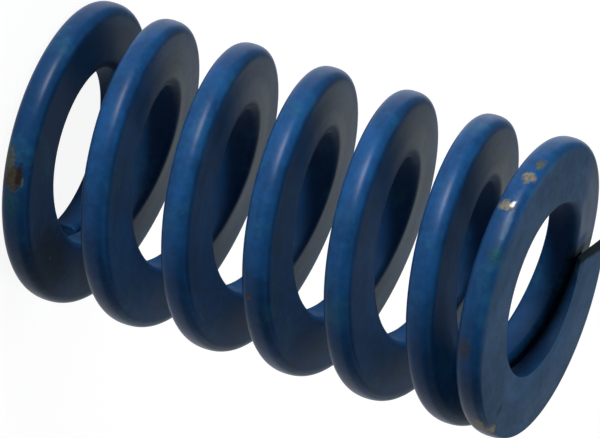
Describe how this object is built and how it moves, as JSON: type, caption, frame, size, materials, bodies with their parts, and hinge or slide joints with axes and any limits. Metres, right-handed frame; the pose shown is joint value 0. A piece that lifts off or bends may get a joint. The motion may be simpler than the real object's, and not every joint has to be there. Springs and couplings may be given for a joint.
{
  "type": "die spring",
  "caption": "Heavy right-hand compression spring coiled from keystone-section wire, painted blue, with closed ends ground flat and some paint chipped off.",
  "frame": {"origin": "centre of the ground bottom end, on the coil's axis", "axes": "+Z along the coil's axis from the ground bottom end to the ground top end; the top tip of the wire points to 117 degrees from +X towards +Y"},
  "size_m": [0.0366, 0.0366, 0.064],
  "materials": {
    "spring_coil": "satin"
  },
  "bodies": {
    "root": {"spring_coil": "spring_coil"}
  },
  "joints": []
}
